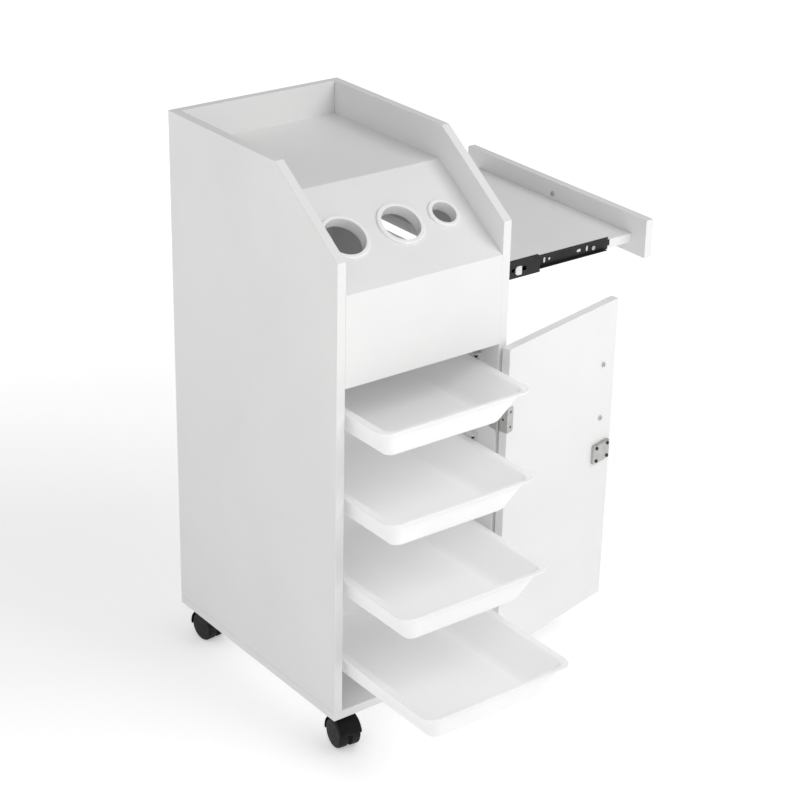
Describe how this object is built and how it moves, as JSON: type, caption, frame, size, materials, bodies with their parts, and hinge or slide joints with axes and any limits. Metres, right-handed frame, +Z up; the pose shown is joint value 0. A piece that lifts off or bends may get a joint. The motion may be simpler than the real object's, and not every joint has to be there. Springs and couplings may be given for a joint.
{
  "type": "rolling salon trolley",
  "caption": "Upright rolling storage trolley with an open top recess, angled round tool holders, a pull-out side shelf on slides, a hinged lockable door and pull-out plastic trays.",
  "frame": {"origin": "on the floor under the centre of the whole part's bounding box at rest, with the side shelf out, the door open and the trays drawn forward", "axes": "+Z up from the floor to the top, -Y towards the open front, +X to the side the shelf is pulled out of"},
  "size_m": [0.63, 0.666, 0.935],
  "materials": {
    "white_board": "white satin laminate on particle board",
    "tray_plastic": "white moulded plastic, soft sheen",
    "holder_plastic": "white moulded plastic",
    "runner_plastic": "white extruded plastic",
    "black_slide": "black electrophoretic coat on steel",
    "stop_plastic": "white moulded stop clip",
    "screw_zinc": "zinc plated",
    "screw_black": "black oxide on steel",
    "hinge_steel": "nickel plated, satin",
    "lock_nickel": "nickel plated, satin",
    "handle_metal": "satin nickel",
    "caster_plate_steel": "zinc plated",
    "caster_plastic": "black nylon",
    "caster_tread": "black hard plastic wheels"
  },
  "bodies": {
    "cabinet": {"left_side_panel": "white_board", "right_side_panel": "white_board", "base_panel": "white_board", "back_panel": "white_board", "top_shelf": "white_board", "front_fixed_panel": "white_board", "sloped_holder_panel": "white_board", "holder_liner_left": "holder_plastic", "holder_liner_middle": "holder_plastic", "holder_liner_right": "holder_plastic", "slide_spacer_front": "white_board", "slide_spacer_rear": "white_board", "slide_outer_front": "black_slide", "slide_outer_rear": "black_slide", "strike_plate": "lock_nickel", "hinge_side_leaf_upper": "hinge_steel", "hinge_side_leaf_lower": "hinge_steel", "hinge_pins": "hinge_steel", "side_hinge_screws": "screw_black", "tray_rails_left": "runner_plastic", "tray_rails_right": "runner_plastic", "rail_screws": "screw_black", "caster_plates": "caster_plate_steel", "caster_screws": "screw_zinc"},
    "side_tray": {"side_shelf": "white_board", "end_panel": "white_board", "end_knob": "handle_metal", "knob_screw": "screw_zinc", "slide_inner_front": "black_slide", "slide_inner_rear": "black_slide", "shelf_screws": "screw_zinc"},
    "slide_middles": {"slide_middle_front": "black_slide", "slide_middle_rear": "black_slide", "slide_stop_front": "stop_plastic", "slide_stop_rear": "stop_plastic"},
    "door": {"door_panel": "white_board", "door_handle": "handle_metal", "handle_screws": "screw_zinc", "lock_case": "lock_nickel", "lock_case_screws": "screw_black", "lock_housing": "lock_nickel", "hinge_door_leaf_upper": "hinge_steel", "hinge_door_leaf_lower": "hinge_steel", "door_hinge_screws": "screw_black"},
    "lock_plug": {"lock_plug": "lock_nickel"},
    "lock_bolt": {"lock_bolt": "lock_nickel"},
    "tray_1": {"tray_1": "tray_plastic"},
    "tray_2": {"tray_2": "tray_plastic"},
    "tray_3": {"tray_3": "tray_plastic"},
    "tray_4": {"tray_4": "tray_plastic"},
    "caster_front_left": {"caster_hood_front_left": "caster_plastic"},
    "wheels_front_left": {"caster_wheels_front_left": "caster_tread"},
    "caster_front_right": {"caster_hood_front_right": "caster_plastic"},
    "wheels_front_right": {"caster_wheels_front_right": "caster_tread"},
    "caster_rear_left": {"caster_hood_rear_left": "caster_plastic"},
    "wheels_rear_left": {"caster_wheels_rear_left": "caster_tread"},
    "caster_rear_right": {"caster_hood_rear_right": "caster_plastic"},
    "wheels_rear_right": {"caster_wheels_rear_right": "caster_tread"}
  },
  "joints": [
    {"name": "side_tray_slide", "type": "slide", "parent": "cabinet", "child": "side_tray", "axis": [1, 0, 0], "range_m": [-0.279, 0]},
    {"name": "slide_middles_travel", "type": "slide", "parent": "cabinet", "child": "slide_middles", "axis": [1, 0, 0], "range_m": [-0.14, 0]},
    {"name": "door_hinge", "type": "hinge", "parent": "cabinet", "child": "door", "pos_m": [-0.01, -0.12, 0.35], "axis": [0, 0, 1], "range_deg": [-22.5, 6]},
    {"name": "lock_turn", "type": "hinge", "parent": "door", "child": "lock_plug", "pos_m": [0.23635, -0.07614, 0.358], "axis": [-0.2164, 0.9763, 0], "range_deg": [0, 90]},
    {"name": "lock_bolt_throw", "type": "slide", "parent": "door", "child": "lock_bolt", "axis": [0.9763, 0.2164, 0], "range_m": [0, 0.011]},
    {"name": "tray_1_slide", "type": "slide", "parent": "cabinet", "child": "tray_1", "axis": [0, 1, 0], "range_m": [-0.124, 0.11]},
    {"name": "tray_2_slide", "type": "slide", "parent": "cabinet", "child": "tray_2", "axis": [0, 1, 0], "range_m": [-0.104, 0.13]},
    {"name": "tray_3_slide", "type": "slide", "parent": "cabinet", "child": "tray_3", "axis": [0, 1, 0], "range_m": [-0.064, 0.17]},
    {"name": "tray_4_slide", "type": "slide", "parent": "cabinet", "child": "tray_4", "axis": [0, 1, 0], "range_m": [0, 0.234]},
    {"name": "caster_front_left_swivel", "type": "hinge", "parent": "cabinet", "child": "caster_front_left", "pos_m": [-0.284, -0.084, 0.05], "axis": [0, 0, 1], "continuous": true},
    {"name": "wheels_front_left_roll", "type": "hinge", "parent": "caster_front_left", "child": "wheels_front_left", "pos_m": [-0.28619, -0.10187, 0.025], "axis": [0.9925, -0.1219, 0], "continuous": true},
    {"name": "caster_front_right_swivel", "type": "hinge", "parent": "cabinet", "child": "caster_front_right", "pos_m": [-0.026, -0.084, 0.05], "axis": [0, 0, 1], "continuous": true},
    {"name": "wheels_front_right_roll", "type": "hinge", "parent": "caster_front_right", "child": "wheels_front_right", "pos_m": [-0.02287, -0.10173, 0.025], "axis": [0.9848, 0.1736, 0], "continuous": true},
    {"name": "caster_rear_left_swivel", "type": "hinge", "parent": "cabinet", "child": "caster_rear_left", "pos_m": [-0.284, 0.313, 0.05], "axis": [0, 0, 1], "continuous": true},
    {"name": "wheels_rear_left_roll", "type": "hinge", "parent": "caster_rear_left", "child": "wheels_rear_left", "pos_m": [-0.28243, 0.29507, 0.025], "axis": [0.9962, 0.0872, 0], "continuous": true},
    {"name": "caster_rear_right_swivel", "type": "hinge", "parent": "cabinet", "child": "caster_rear_right", "pos_m": [-0.026, 0.313, 0.05], "axis": [0, 0, 1], "continuous": true},
    {"name": "wheels_rear_right_roll", "type": "hinge", "parent": "caster_rear_right", "child": "wheels_rear_right", "pos_m": [-0.02974, 0.29539, 0.025], "axis": [0.9781, -0.2079, 0], "continuous": true}
  ],
  "couplings": [
    {"joint": "slide_middles_travel", "follows": "side_tray_slide", "ratio": 0.5},
    {"joint": "lock_bolt_throw", "follows": "lock_turn", "m_per_rad": 0.007}
  ]
}
